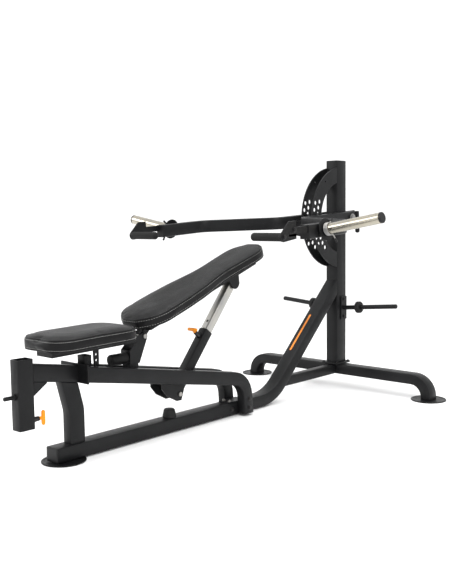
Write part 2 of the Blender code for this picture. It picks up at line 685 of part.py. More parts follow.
def build_storage():
    for name, sign in SIDES:
        face = UPRIGHT_X + TOUCH
        low = (min(sign * face, sign * (face + STORE_PLATE_THICK)), STORE_Y - STORE_PLATE_HALF,
               STORE_Z - STORE_PLATE_TALL)
        high = (max(sign * face, sign * (face + STORE_PLATE_THICK)), STORE_Y + STORE_PLATE_HALF,
                STORE_Z + STORE_PLATE_TALL)
        plate = finish(box_mesh(low, high), 'storage_peg_' + name, MATERIALS['coat'])
        direction = Vector((sign * math.cos(STORE_TILT), 0, math.sin(STORE_TILT)))
        root = Vector((sign * (face + STORE_PLATE_THICK / 2), STORE_Y, STORE_Z))
        tip = root + direction * ((STORE_TIP_X - abs(root.x)) / math.cos(STORE_TILT))
        rod = finish(rod_mesh(root, tip, STORE_R, ROUND, 0.004), 'join_peg_' + name,
                     MATERIALS['coat'])
        boolean(plate, rod, 'UNION')
        along = (STORE_COLLAR_X[name] - abs(root.x)) / math.cos(STORE_TILT) - STORE_COLLAR_WIDTH / 2
        bore = STORE_R + TOUCH
        profile = [(bore, 0), (STORE_COLLAR_R - 0.004, 0), (STORE_COLLAR_R, 0.004),
                   (STORE_COLLAR_R, STORE_COLLAR_WIDTH - 0.004),
                   (STORE_COLLAR_R - 0.004, STORE_COLLAR_WIDTH), (bore, STORE_COLLAR_WIDTH)]
        finish(turn_mesh(profile, root + direction * along, direction, ROUND, ring=True),
               'peg_collar_' + name, MATERIALS['rubber'])


def build_bumper():
    profile = [(BUMPER_R, 0), (BUMPER_R, 0.006), (BUMPER_TOP_R, BUMPER_HEIGHT - 0.005),
               (BUMPER_TOP_R - 0.005, BUMPER_HEIGHT)]
    finish(turn_mesh(profile, (0, BUMPER_Y, RAIL_TOP + TOUCH), (0, 0, 1), 24), 'rail_bumper',
           MATERIALS['rubber'])


# ---------------------------------------------------------------- bench
def pad_rings(outline, thick, crown, edge):
    """Rings of a crowned pad over a plan outline of (x, y) points; z 0 is its underside."""
    centre_x = sum(x for x, y in outline) / len(outline)
    low = min(y for x, y in outline)
    high = max(y for x, y in outline)
    centre_y = (low + high) / 2
    half_y = (high - low) / 2

    def shrunk(inset, z):
        ring = []
        for x, y in outline:
            along = (y - centre_y) / half_y
            width = 1 - inset / max(abs(x - centre_x), 0.06)
            length = 1 - inset / half_y
            ring.append((centre_x + (x - centre_x) * max(width, 0.3), centre_y
                         + half_y * along * length, z))
        return ring

    return [shrunk(edge, 0), shrunk(0, edge), shrunk(0, thick - crown - edge),
            shrunk(edge, thick - crown), shrunk(0.040, thick - crown * 0.35),
            shrunk(0.075, thick)]


def seat_outline():
    """Plan of the seat pad, from the hinge forward (towards -Y), with big round corners."""
    section = rounded_section(2 * SEAT_PAD_HALF, SEAT_PAD_LENGTH, 0.085, 6)
    middle = -(SEAT_PAD_START + SEAT_PAD_LENGTH / 2)
    return [(x, y + middle) for x, y in section]


def back_outline():
    """Plan of the back pad: wide lower half, narrower upper half, rounded ends."""
    steps = 22
    right = []
    for i in range(steps + 1):
        along = 0.5 - 0.5 * math.cos(math.pi * i / steps)
        blend = 1 / (1 + math.exp(-(along - 0.48) * 14))
        half = BACK_PAD_WIDE + (BACK_PAD_NARROW - BACK_PAD_WIDE) * blend
        half -= BACK_PAD_WAIST * math.exp(-((along - 0.62) / 0.12) ** 2)
        end = min(along / 0.16, (1 - along) / 0.14, 1)
        round_off = (1 - (1 - end) ** 2.4) ** 0.5
        right.append((max(half * round_off, 0.050), BACK_PAD_START + BACK_PAD_LENGTH * along))
    return right + [(-x, y) for x, y in reversed(right)]


def build_seat(axis):
    coat = MATERIALS['coat']
    rings = pad_rings(seat_outline(), SEAT_PAD_THICK, 0.012, 0.006)
    rings = [[(x, y, z + SEAT_PAD_RISE) for x, y, z in ring] for ring in rings]
    finish(stack_mesh(rings), 'seat_pad', MATERIALS['leather'], parent=axis)

    top = SEAT_PAD_RISE - TOUCH
    bottom = top - SEAT_RAIL_HEIGHT
    frame = finish(box_mesh((-SEAT_RAIL_X, -SEAT_RAIL_FRONT, bottom),
                            (SEAT_RAIL_X, -SEAT_PAD_START - 0.012, top)), 'seat_frame', coat,
                   parent=axis)
    notch = finish(box_mesh((-SEAT_RAIL_X + SEAT_RAIL_WIDTH, -SEAT_RAIL_FRONT + 0.040,
                             bottom - 0.010), (SEAT_RAIL_X - SEAT_RAIL_WIDTH,
                             -SEAT_PAD_START - 0.060, top + 0.010)), 'cut_seat_window', coat,
                   parent=axis)
    boolean(frame, notch, 'DIFFERENCE')
    hole = circle(HINGE_R + RUN, 16)
    outer_x = SUPPORT_WIDTH / 2 + 2 * TOUCH + EAR_THICK + 0.001
    tongue = arc((0, 0), 0.016, math.radians(-100), math.radians(80), 8)
    tongue += [(-SEAT_PAD_START + 0.020, top - 0.002), (-SEAT_PAD_START - 0.030, top - 0.002),
               (-SEAT_PAD_START - 0.030, bottom - 0.004)]
    for name, sign in SIDES:
        x = sign * (outer_x + EAR_THICK / 2)
        ear = finish(plate_mesh(tongue, EAR_THICK, [hole], x), 'join_seat_ear_' + name, coat,
                     parent=axis)
        boolean(frame, ear, 'UNION')

    strap_y = SEAT_POST_Y + SEAT_POST_DEPTH / 2 + 0.016 - HINGE_Y
    strap = [(strap_y - 0.011, bottom - 0.105), (strap_y + 0.011, bottom - 0.105),
             (strap_y + 0.014, bottom - TOUCH), (strap_y - 0.014, bottom - TOUCH)]
    holes = [[(strap_y + y, bottom - 0.022 - 0.024 * i + z) for y, z in circle(0.0055, 12)]
             for i in range(4)]
    finish(plate_mesh(strap, 0.008, holes, SEAT_POST_WIDTH / 2 + 0.005), 'seat_strap', coat,
           parent=axis)


def build_back(axis):
    coat = MATERIALS['coat']
    rings = pad_rings(back_outline(), BACK_PAD_THICK, 0.010, 0.006)
    rings = [[(x, y, z + BACK_PAD_RISE) for x, y, z in ring] for ring in rings]
    finish(stack_mesh(rings), 'back_pad', MATERIALS['leather'], parent=axis)

    top = BACK_PAD_RISE - TOUCH
    bottom = top - BACK_RAIL_HEIGHT
    outer = BACK_RAIL_X + BACK_RAIL_WIDTH / 2
    inner = BACK_RAIL_X - BACK_RAIL_WIDTH / 2
    start = 0.030
    frame = finish(box_mesh((-outer, start, bottom), (outer, BACK_RAIL_END, top)), 'back_frame',
                   coat, parent=axis)
    for name, low, high in (('lower', start + 0.060, CLEVIS_ALONG - 0.060),
                            ('upper', CLEVIS_ALONG + 0.060, BACK_RAIL_END - 0.030)):
        window = finish(box_mesh((-inner, low, bottom - 0.010), (inner, high, top + 0.010)),
                        'cut_back_' + name, coat, parent=axis)
        boolean(frame, window, 'DIFFERENCE')

    hole = circle(HINGE_R + RUN, 16)
    ear_x = SUPPORT_WIDTH / 2 - EAR_THICK / 2 - 0.001
    hinge_ear = arc((0, 0), 0.018, math.radians(180), math.radians(300), 6)
    hinge_ear += [(start + 0.050, bottom + 0.004), (start + 0.010, top - 0.004)]
    clevis_ear = [(CLEVIS_ALONG + y, -CLEVIS_BELOW + z)
                  for y, z in arc((0, 0), 0.030, math.radians(180), math.radians(360), 8)]
    clevis_ear += [(CLEVIS_ALONG + 0.040, bottom + 0.004), (CLEVIS_ALONG - 0.040, bottom + 0.004)]
    for name, sign in SIDES:
        parts = (('join_hinge_ear_' + name, hinge_ear, [hole], ear_x - EAR_THICK / 2 - 0.0),
                 ('join_clevis_ear_' + name, clevis_ear, [], EAR_INNER_X + EAR_THICK / 2))
        for label, outline, holes, x in parts:
            ear = finish(plate_mesh(outline, EAR_THICK, holes, sign * x), label, coat,
                         parent=axis)
            boolean(frame, ear, 'UNION')


def build_post(axis):
    """Telescoping post. Its own +Y runs from the lower pivot to the clevis."""
    coat = MATERIALS['coat']
    tube = finish(tube_mesh([Vector((0, -POST_BELOW, 0)), Vector((0, POST_LENGTH, 0))],
                            POST_SIZE, POST_SIZE), 'post_tube', coat, parent=axis)
    side = Vector((POST_SIZE, 0, 0))
    cut_hole(tube, -side, side, CLEVIS_BOLT_R + RUN, axis)
    pin_y = POST_LENGTH - POST_PIN_DOWN
    pin_at = Vector((0, pin_y, POST_SIZE / 2))
    cut_hole(tube, pin_at - Vector((0, 0, 2 * WALL)), pin_at + Vector((0, 0, 2 * WALL)),
             PIN_R + RUN, axis)

    start = POST_REACH - INNER_LENGTH
    end = POST_REACH + INNER_ABOVE
    inner = finish(tube_mesh([Vector((0, start, 0)), Vector((0, end, 0))], INNER_SIZE,
                             INNER_SIZE, wall=0.0025, corner=0.004), 'inner_tube',
                   MATERIALS['chrome'], parent=axis)
    eye = Vector((0, POST_REACH, 0))
    cut_hole(inner, eye - side, eye + side, CLEVIS_BOLT_R + RUN, axis)
    for i in range(INNER_HOLE_COUNT):
        y = pin_y - (i - 2) * INNER_HOLE_PITCH
        top = Vector((0, y, INNER_SIZE / 2 + 0.004))
        cut_hole(inner, top - Vector((0, 0, 0.012)), top, INNER_HOLE_R, axis, 12)
    finish(bolt_mesh(INNER_SIZE / 2 + TOUCH, CLEVIS_BOLT_R, eye, 0.004, 1.5), 'clevis_bolt',
           MATERIALS['steel'], parent=axis)
    return pin_at


def build_post_bracket():
    """Two ears on the side beams' inner faces carry the post's lower bolt."""
    face = SIDE_BEAM_X - SIDE_BEAM_WIDTH / 2 - TOUCH
    beam_low = side_beam_top(POST_FOOT_Y) - SIDE_BEAM_HEIGHT
    outline = [(POST_FOOT_Y - 0.112, beam_low + 0.036), (POST_FOOT_Y - 0.112, beam_low - 0.010),
               (POST_FOOT_Y - 0.080, POST_FOOT_Z + 0.002), (POST_FOOT_Y - 0.020,
               POST_FOOT_Z - 0.030), (POST_FOOT_Y + 0.010, POST_FOOT_Z - 0.030),
               (POST_FOOT_Y + 0.050, beam_low + 0.030)]
    hole = [(POST_FOOT_Y + y, POST_FOOT_Z + z) for y, z in circle(CLEVIS_BOLT_R + RUN, 16)]
    for name, sign in SIDES:
        x = sign * (face - EAR_THICK / 2)
        finish(plate_mesh(outline, EAR_THICK, [hole], x), 'post_bracket_' + name,
               MATERIALS['coat'])
    finish(bolt_mesh(face + TOUCH, CLEVIS_BOLT_R, POST_FOOT), 'post_bolt', MATERIALS['steel'])
    grip = SUPPORT_WIDTH / 2 + 3 * TOUCH + 2 * EAR_THICK + 0.001
    finish(bolt_mesh(grip, HINGE_R, HINGE, 0.005), 'bench_bolt', MATERIALS['steel'])


# ---------------------------------------------------------------- pull pins
def build_pin(name, face, direction, nose, parent, knob_material, cross):
    """Pull pin on a face: a screwed-in body and, sliding in it, a pin with a T-knob.
    nose is how far the pin reaches in from the face, cross is the way the T lies."""
    direction = Vector(direction).normalized()
    bore = PIN_R + RUN
    body = [(bore, TOUCH), (PIN_BODY_R, TOUCH), (PIN_BODY_R, 0.014), (PIN_BODY_R * 0.86, 0.017),
            (PIN_BODY_R * 0.80, PIN_BODY_LENGTH), (bore, PIN_BODY_LENGTH)]
    finish(turn_mesh(body, face, direction, 16, ring=True), name + '_body', MATERIALS['steel'],
           parent=parent)
    knob_at = PIN_BODY_LENGTH + 0.002
    end = knob_at + KNOB_NECK
    profile = [(PIN_R - 0.001, -nose), (PIN_R, -nose + 0.002), (PIN_R, knob_at),
               (KNOB_R * 0.95, knob_at + 0.001), (KNOB_R * 0.8, end - 0.002),
               (KNOB_R * 0.8, end)]
    pin = finish(turn_mesh(profile, face, direction, 16), name, knob_material, parent=parent)
    middle = Vector(face) + direction * end
    arm = Vector(cross).normalized() * KNOB_HALF
    bar = [(KNOB_R * 0.55, 0), (KNOB_R, 0.005), (KNOB_R * 1.1, KNOB_HALF),
           (KNOB_R, 2 * KNOB_HALF - 0.005), (KNOB_R * 0.55, 2 * KNOB_HALF)]
    mesh = turn_mesh(bar, middle - arm, arm, 14)
    boolean(pin, finish(mesh, 'join_' + name, knob_material, parent=parent), 'UNION')


# ---------------------------------------------------------------- lever arms
def build_carriage(axis):
    """Side plates astride the upright, joined ahead of the selector and behind the upright."""
    coat = MATERIALS['coat']
    shaft_hole = circle(PIVOT_SHAFT_R + RUN, 24)
    pin_y = -INNER_ROW_R * math.cos(CARRIAGE_PIN_ANGLE)
    pin_z = INNER_ROW_R * math.sin(CARRIAGE_PIN_ANGLE)
    pin_hole = [(pin_y + y, pin_z + z) for y, z in circle(PIN_R + RUN, 16)]
    outline = [(CARRIAGE_TAIL - 0.012, CARRIAGE_UP), (-0.060, CARRIAGE_UP),
               (-CARRIAGE_NOSE + 0.030, 0.012), (-CARRIAGE_NOSE, 0.004),
               (-CARRIAGE_NOSE, -CARRIAGE_NOSE_LOW), (pin_y - 0.060, -CARRIAGE_DOWN + 0.006),
               (pin_y - 0.030, -CARRIAGE_DOWN), (pin_y + 0.020, -CARRIAGE_DOWN),
               (TAB_END + 0.020, -0.048), (0.030, -0.026), (0.045, CARRIAGE_TAIL_LOW),
               (CARRIAGE_TAIL - 0.004, CARRIAGE_TAIL_LOW), (CARRIAGE_TAIL, CARRIAGE_TAIL_LOW
               + 0.006), (CARRIAGE_TAIL, CARRIAGE_UP - 0.014)]
    reach = CARRIAGE_OUT + 0.004
    nose_low = (-CARRIAGE_OUT, -CARRIAGE_NOSE - 0.002, -CARRIAGE_NOSE_LOW)
    nose_high = (CARRIAGE_OUT, -CARRIAGE_NOSE + CARRIAGE_NOSE_THICK, 0.006)
    carriage = finish(box_mesh(nose_low, nose_high), 'carriage', coat, parent=axis)
    tab_top = -ARM_HEIGHT / 2 - ARM_CLEAR
    for name, sign in SIDES:
        holes = [shaft_hole, pin_hole] if sign < 0 else [shaft_hole]
        x = sign * (CARRIAGE_X + CARRIAGE_THICK / 2)
        plate = finish(plate_mesh(outline, CARRIAGE_THICK, holes, x), 'join_plate_' + name,
                       coat, parent=axis)
        ends = (sign * (CARRIAGE_X + 0.002), sign * (ARM_INNER_X + ARM_WIDTH / 2 - 0.004))
        tab = finish(box_mesh((min(ends), TAB_START, tab_top - TAB_THICK),
                              (max(ends), TAB_END, tab_top)), 'join_tab_' + name, coat,
                     parent=axis)
        boolean(carriage, plate, 'UNION')
        boolean(carriage, tab, 'UNION')
    tail = rod_mesh((-reach, TAIL_BAR_BACK, CARRIAGE_UP / 2),
                    (CARRIAGE_OUT + 0.024, TAIL_BAR_BACK, CARRIAGE_UP / 2), 0.008, 12)
    boolean(carriage, finish(tail, 'join_tail', coat, parent=axis), 'UNION')
    rod_top = Vector((CARRIAGE_OUT + 0.006 + ROD_R, TAIL_BAR_BACK, CARRIAGE_UP / 2 + 0.012))
    rod = turn_mesh([(ROD_R - 0.003, 0), (ROD_R, 0.003), (ROD_R, ROD_LENGTH - 0.008),
                     (ROD_R - 0.004, ROD_LENGTH - 0.002), (ROD_R - 0.009, ROD_LENGTH)],
                    rod_top, (0, 0, -1), 16)
    boolean(carriage, finish(rod, 'join_rod', coat, parent=axis), 'UNION')
    face = (-CARRIAGE_OUT, pin_y, pin_z)
    build_pin('carriage_pin', face, (-1, 0, 0), CARRIAGE_THICK, axis, MATERIALS['plastic'],
              (0, 1, 0))


def build_arm(name, sign, axis):
    coat = MATERIALS['coat']
    points = [(sign * ARM_INNER_X, ARM_TAIL_Y, 0), (sign * ARM_INNER_X, ARM_BEND_IN, 0),
              (sign * ARM_OUTER_X, ARM_BEND_OUT, 0), (sign * ARM_OUTER_X, ARM_FRONT, 0)]
    path = bend_path(points, ARM_BEND_R, 5)
    arm = finish(tube_mesh(path, ARM_HEIGHT, ARM_WIDTH, side=(0, 0, 1)), 'arm_' + name, coat,
                 parent=axis)
    inner = Vector((sign * (ARM_INNER_X - ARM_WIDTH), 0, 0))
    outer = Vector((sign * (ARM_INNER_X + ARM_WIDTH), 0, 0))
    cut_hole(arm, inner, outer, PIVOT_SHAFT_R + RUN, axis, 24)

    face = sign * (ARM_FACE_X + TOUCH)
    direction = Vector((sign * math.cos(HORN_TILT), 0, math.sin(HORN_TILT)))
    base = Vector((face, HORN_Y, 0))
    stand = FLANGE_STAND
    bore = HORN_R - HORN_WALL
    profile = [(bore, 0), (HORN_R, 0), (HORN_R, stand), (FLANGE_R, stand),
               (FLANGE_R, stand + FLANGE_THICK), (HORN_R, stand + FLANGE_THICK),
               (HORN_R, stand + HORN_LENGTH), (bore, stand + HORN_LENGTH)]
    plane = (base, (1, 0, 0))
    finish(turn_mesh(profile, base, direction, 28, ring=True, base_plane=plane), 'horn_' + name,
           MATERIALS['chrome'], parent=axis)
    tip = base + direction * (stand + HORN_LENGTH + TOUCH)
    finish(turn_mesh([(HORN_R, 0), (HORN_R, CAP_THICK - 0.003), (HORN_R - 0.003, CAP_THICK)],
                     tip, direction, 28), 'horn_cap_' + name, MATERIALS['plastic'], parent=axis)
    seat = base + direction * (stand + FLANGE_THICK + TOUCH)
    ring_bore = HORN_R + RUN
    collar = [(ring_bore, 0), (COLLAR_R, 0), (COLLAR_R, COLLAR_WIDTH), (ring_bore, COLLAR_WIDTH)]
    finish(turn_mesh(collar, seat, direction, 24, ring=True), 'spring_collar_' + name,
           MATERIALS['chrome'], parent=axis)

    grip = (HANDLE_Y, -HANDLE_DROP)
    top = BRACKET_TALL - HANDLE_DROP
    low = -HANDLE_DROP - 0.015
    end_y = ARM_FRONT - TOUCH
    outline = [(end_y - 0.002, 0.030), (HANDLE_Y + 0.090, 0.030),
               (HANDLE_Y + 0.090, top), (HANDLE_Y + 0.040, top)]
    outline += arc(grip, 0.022, math.radians(140), math.radians(270), 7)
    outline += [(HANDLE_Y + 0.088, low), (HANDLE_Y + 0.090, 0.0), (end_y - 0.002, 0.0)]
    end_plate = box_mesh((sign * ARM_OUTER_X - ARM_WIDTH / 2, end_y - 0.006, -ARM_HEIGHT / 2),
                         (sign * ARM_OUTER_X + ARM_WIDTH / 2, end_y, ARM_HEIGHT / 2))
    bracket = finish(end_plate, 'handle_bracket_' + name, coat, parent=axis)
    plate = finish(plate_mesh(outline, BRACKET_THICK, (), sign * BRACKET_X),
                   'join_bracket_' + name, coat, parent=axis)
    boolean(bracket, plate, 'UNION')
    start = Vector((sign * (BRACKET_X - BRACKET_THICK / 2 - TOUCH), HANDLE_Y, -HANDLE_DROP))
    finish(turn_mesh([(HANDLE_R, 0), (HANDLE_R, HANDLE_REACH - 0.010), (HANDLE_R - 0.003,
                      HANDLE_REACH - 0.004), (HANDLE_R - 0.010, HANDLE_REACH)], start,
                     (-sign, 0, 0)), 'handle_' + name, MATERIALS['rubber'], parent=axis)


def build_lever():
    axis = make_empty('lever_axis', PIVOT, ARM_TILT)
    build_carriage(axis)
    for name, sign in SIDES:
        build_arm(name, sign, axis)


def build_bench():
    back_axis = make_empty('back_axis', HINGE, BACK_ANGLE)
    seat_axis = make_empty('seat_axis', HINGE, SEAT_ANGLE)
    post_axis = make_empty('post_axis', POST_FOOT, POST_ANGLE)
    build_back(back_axis)
    build_seat(seat_axis)
    pin_at = build_post(post_axis)
    build_post_bracket()
    build_pin('post_pin', pin_at, (0, 0, 1), WALL, post_axis, MATERIALS['orange'], (1, 0, 0))
    receiver_face = Vector((0, RECEIVER_REAR_Y, RECEIVER_PIN_Z)) + SHIFT
    build_pin('receiver_pin', receiver_face, (0, 1, 0), WALL + PIN_TRAVEL - 0.001,
              make_empty('receiver_axis', -SHIFT), MATERIALS['orange'], (0, 0, 1))


MATERIALS = {}


def build():
    clear_scene()
    MATERIALS['coat'] = make_material('powder_coat', (0.035, 0.036, 0.038), 0.45, 0.3)
    MATERIALS['chrome'] = make_material('chrome', (0.72, 0.71, 0.68), 0.25, 1.0)
    MATERIALS['steel'] = make_material('steel', (0.42, 0.42, 0.42), 0.40, 1.0)
    MATERIALS['rubber'] = make_material('rubber', (0.020, 0.020, 0.020), 0.75)
    MATERIALS['plastic'] = make_material('plastic', (0.020, 0.020, 0.022), 0.50)
    MATERIALS['orange'] = make_material('knob_orange', (0.90, 0.42, 0.03), 0.40)
    MATERIALS['leather'] = make_material('leather', (0.050, 0.050, 0.052), 0.55)
    build_floor_frame()
    build_seat_end()
    build_side_beams()
    build_bench_supports()
    build_selector()
    build_storage()
    build_bumper()
    build_bench()
    build_lever()


build()
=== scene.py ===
"""Looks of the lever press bench: materials, soft pads, fasteners, floor, light and camera."""

import math

import bmesh
import bpy
from mathutils import Matrix, Vector


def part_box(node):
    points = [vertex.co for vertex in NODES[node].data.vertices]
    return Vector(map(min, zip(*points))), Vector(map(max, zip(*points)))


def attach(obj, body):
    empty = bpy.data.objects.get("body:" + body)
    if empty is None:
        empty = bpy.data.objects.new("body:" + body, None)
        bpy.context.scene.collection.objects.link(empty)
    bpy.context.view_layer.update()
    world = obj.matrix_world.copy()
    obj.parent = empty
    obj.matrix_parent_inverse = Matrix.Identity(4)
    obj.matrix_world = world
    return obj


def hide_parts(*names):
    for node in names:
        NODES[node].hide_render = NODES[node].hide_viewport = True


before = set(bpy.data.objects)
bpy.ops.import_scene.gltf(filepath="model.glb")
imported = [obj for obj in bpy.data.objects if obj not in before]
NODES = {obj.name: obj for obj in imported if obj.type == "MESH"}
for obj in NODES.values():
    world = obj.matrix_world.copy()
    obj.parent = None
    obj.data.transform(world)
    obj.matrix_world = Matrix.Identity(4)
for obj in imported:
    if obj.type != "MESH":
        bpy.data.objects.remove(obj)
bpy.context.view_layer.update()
SCENE = bpy.context.scene

# The same places as the CAD model's, in metres.
SHIFT_Y = 0.99198
PIVOT = Vector((0, 0.050 + SHIFT_Y, 0.973))
HINGE = Vector((0, -1.465 + SHIFT_Y, 0.470))
ARM_TILT = math.radians(3.6)
BACK_ANGLE = math.radians(19.6)
SEAT_ANGLE = math.radians(1.2)
HORN_TILT = math.radians(10.0)
HORN_Y = -0.820
HORN_R = 0.025
ARM_INNER_X = 0.077
ARM_TAIL_Y = 0.035
ARM_SECTION = (0.050, 0.065)
ARM_FACE_X = 0.501
BRACKET_X = 0.493
BRACKET_HALF = 0.0043          # half the bracket plate and the gap beside it
HANDLE_Y = -1.110
HANDLE_Z = -0.007
COLLAR_SEAT = 0.0175           # spring collar's inner end, along the horn from the arm
STRIPE_CENTRE = (-0.008, -0.283, 0.3483)
BRACE_SLOPE = math.radians(43.5)
CAMERA_PLACE = (2.711, -3.838, 0.997)
CAMERA_ANGLES = (42.63, 5.41, -0.73)   # azimuth, elevation and roll in degrees
CAMERA_LENS = 50.36
SIDES = (('left', -1), ('right', 1))


# ---------------------------------------------------------------- materials
def node_material(name, colour, roughness, metallic=0.0):
    material = bpy.data.materials.new(name)
    material.use_nodes = True
    shader = material.node_tree.nodes['Principled BSDF']
    shader.inputs['Base Color'].default_value = (*colour, 1)
    shader.inputs['Roughness'].default_value = roughness
    shader.inputs['Metallic'].default_value = metallic
    return material, material.node_tree, shader


def add_node(tree, kind, **inputs):
    node = tree.nodes.new(kind)
    for key, value in inputs.items():
        node.inputs[key.replace('_', ' ')].default_value = value
    return node


def object_coords(tree, stretch=(1, 1, 1)):
    source = tree.nodes.new('ShaderNodeTexCoord')
    mapping = add_node(tree, 'ShaderNodeMapping', Scale=stretch)
    tree.links.new(source.outputs['Object'], mapping.inputs['Vector'])
    return mapping.outputs['Vector']


def noise(tree, coords, scale, detail=3.0, roughness=0.5):
    node = add_node(tree, 'ShaderNodeTexNoise', Scale=scale, Detail=detail, Roughness=roughness)
    tree.links.new(coords, node.inputs['Vector'])
    return node.outputs['Fac']


def map_range(tree, value, low, high, new_low, new_high):
    node = tree.nodes.new('ShaderNodeMapRange')
    for socket, number in zip(node.inputs[1:5], (low, high, new_low, new_high)):
        socket.default_value = number
    tree.links.new(value, node.inputs[0])
    return node.outputs[0]


def colour_ramp(tree, value, stops):
    node = tree.nodes.new('ShaderNodeValToRGB')
    ramp = node.color_ramp
    while len(ramp.elements) < len(stops):
        ramp.elements.new(0.5)
    for element, (position, colour) in zip(ramp.elements, stops):
        element.position = position
        element.color = (*colour, 1)
    tree.links.new(value, node.inputs[0])
    return node.outputs[0]


def bump(tree, shader, height, strength, distance, under=None):
    node = add_node(tree, 'ShaderNodeBump', Strength=strength, Distance=distance)
    tree.links.new(height, node.inputs['Height'])
    if under:
        tree.links.new(under, node.inputs['Normal'])
    tree.links.new(node.outputs['Normal'], shader.inputs['Normal'])
    return node.outputs['Normal']


def coat_material(name, colour, roughness=0.40, peel=0.25):
    """Satin powder coat: fine orange peel, a little cloudiness, faint handling marks."""
    material, tree, shader = node_material(name, colour, roughness)
    coords = object_coords(tree)
    clouds = noise(tree, coords, 5.0, 4.0)
    dark = tuple(c * 0.78 for c in colour)
    light = tuple(c * 1.25 + 0.002 for c in colour)
    tree.links.new(colour_ramp(tree, clouds, ((0.3, dark), (0.7, light))),
                   shader.inputs['Base Color'])
    marks = noise(tree, coords, 38.0, 6.0, 0.7)
    tree.links.new(map_range(tree, marks, 0.35, 0.75, roughness - 0.05, roughness + 0.10),
                   shader.inputs['Roughness'])
    peel_height = noise(tree, coords, 700.0, 2.0)
    bump(tree, shader, peel_height, peel, 0.0004)
    shader.inputs['Specular IOR Level'].default_value = 0.17
    return material


def leather_material(name, colour):
    """Soft synthetic leather: pebbled grain over slow creases."""
    material, tree, shader = node_material(name, colour, 0.42)
    coords = object_coords(tree)
    cells = add_node(tree, 'ShaderNodeTexVoronoi', Scale=420.0)
    cells.feature = 'DISTANCE_TO_EDGE'
    warp = noise(tree, coords, 60.0, 2.0)
    mix = tree.nodes.new('ShaderNodeMixRGB')
    mix.inputs['Fac'].default_value = 0.02
    tree.links.new(coords, mix.inputs['Color1'])
    tree.links.new(warp, mix.inputs['Color2'])
    tree.links.new(mix.outputs['Color'], cells.inputs['Vector'])
    grain = map_range(tree, cells.outputs['Distance'], 0.0, 0.35, 0.0, 1.0)
    tree.links.new(colour_ramp(tree, grain, ((0.0, tuple(c * 0.55 for c in colour)),
                                             (0.6, colour))), shader.inputs['Base Color'])
    creases = noise(tree, coords, 14.0, 5.0, 0.6)
    tree.links.new(map_range(tree, creases, 0.3, 0.7, 0.38, 0.46), shader.inputs['Roughness'])
    soft = bump(tree, shader, creases, 0.05, 0.003)
    bump(tree, shader, grain, 0.25, 0.0004, soft)
    shader.inputs['Specular IOR Level'].default_value = 0.15
    shader.inputs['Coat Weight'].default_value = 0.02
    shader.inputs['Coat Roughness'].default_value = 0.35
    return material


def metal_material(name, colour, roughness, stretch, marks_strength=0.12):
    """Bare or plated metal with fine drawn marks along one axis and cloudy sheen."""
    material, tree, shader = node_material(name, colour, roughness, 1.0)
    coords = object_coords(tree, stretch)
    drawn = noise(tree, coords, 90.0, 6.0, 0.65)
    clouds = noise(tree, object_coords(tree), 9.0, 4.0)
    warm = tuple(min(1, c * f) for c, f in zip(colour, (1.04, 1.0, 0.93)))
    cool = tuple(c * 0.82 for c in colour)
    tree.links.new(colour_ramp(tree, clouds, ((0.3, cool), (0.7, warm))),
                   shader.inputs['Base Color'])
    tree.links.new(map_range(tree, drawn, 0.3, 0.7, roughness - 0.06, roughness + 0.10),
                   shader.inputs['Roughness'])
    bump(tree, shader, drawn, marks_strength, 0.0002)
    return material


def moulded_material(name, colour, roughness, texture=320.0, strength=0.3):
    """Moulded rubber or plastic with a fine stipple and slight scuffs."""
    material, tree, shader = node_material(name, colour, roughness)
    coords = object_coords(tree)
    stipple = noise(tree, coords, texture, 3.0, 0.6)
    scuffs = noise(tree, coords, 24.0, 6.0, 0.7)
    tree.links.new(colour_ramp(tree, scuffs, ((0.35, tuple(c * 0.8 for c in colour)),
                                              (0.75, tuple(c * 1.2 + 0.003 for c in colour)))),
                   shader.inputs['Base Color'])
    tree.links.new(map_range(tree, scuffs, 0.3, 0.7, roughness - 0.06, roughness + 0.08),
                   shader.inputs['Roughness'])
    bump(tree, shader, stipple, strength, 0.0005)
    shader.inputs['Specular IOR Level'].default_value = 0.22
    return material


COAT = coat_material('satin_black_coat', (0.0055, 0.0057, 0.0062))
LEATHER = leather_material('black_leather', (0.0042, 0.0042, 0.0046))
PIPING = leather_material('piping_leather', (0.008, 0.008, 0.0084))
THREAD = moulded_material('grey_thread', (0.30, 0.30, 0.29), 0.7)
PLATED = metal_material('satin_plated', (0.46, 0.44, 0.385), 0.20, (0.06, 1, 1))
INNER = metal_material('plated_inner_tube', (0.47, 0.47, 0.46), 0.32, (1, 0.08, 0.08))
ZINC = metal_material('zinc_hardware', (0.34, 0.34, 0.34), 0.38, (1, 1, 1))
DARK_STEEL = metal_material('blackened_steel', (0.045, 0.045, 0.048), 0.36, (1, 1, 1))
RUBBER = moulded_material('black_rubber', (0.0065, 0.0065, 0.0065), 0.62)
GRIP = moulded_material('foam_grip', (0.0065, 0.0065, 0.0065), 0.70, 900.0, 0.5)
PLASTIC = moulded_material('black_plastic', (0.007, 0.007, 0.0075), 0.40, 800.0, 0.15)
ORANGE = moulded_material('orange_plastic', (0.83, 0.27, 0.012), 0.33, 700.0, 0.12)
STRIPE = coat_material('orange_stripe', (0.60, 0.19, 0.03), 0.45, 0.15)

BY_START = (('horn_cap', PLASTIC), ('upright_cap', PLASTIC), ('carriage_pin_body', DARK_STEEL),
            ('carriage_pin', PLASTIC), ('post_pin_body', DARK_STEEL),
            ('receiver_pin_body', DARK_STEEL), ('post_pin', ORANGE), ('receiver_pin', ORANGE),
            ('horn_', PLATED), ('inner_tube', INNER), ('spring_collar', ZINC),
            ('handle_left', GRIP), ('handle_right', GRIP), ('peg_collar', RUBBER),
            ('rail_bumper', RUBBER), ('seat_stub', RUBBER), ('seat_pad', LEATHER),
            ('back_pad', LEATHER), ('pivot_shaft', ZINC), ('bench_bolt', ZINC),
            ('post_bolt', ZINC), ('clevis_bolt', ZINC))


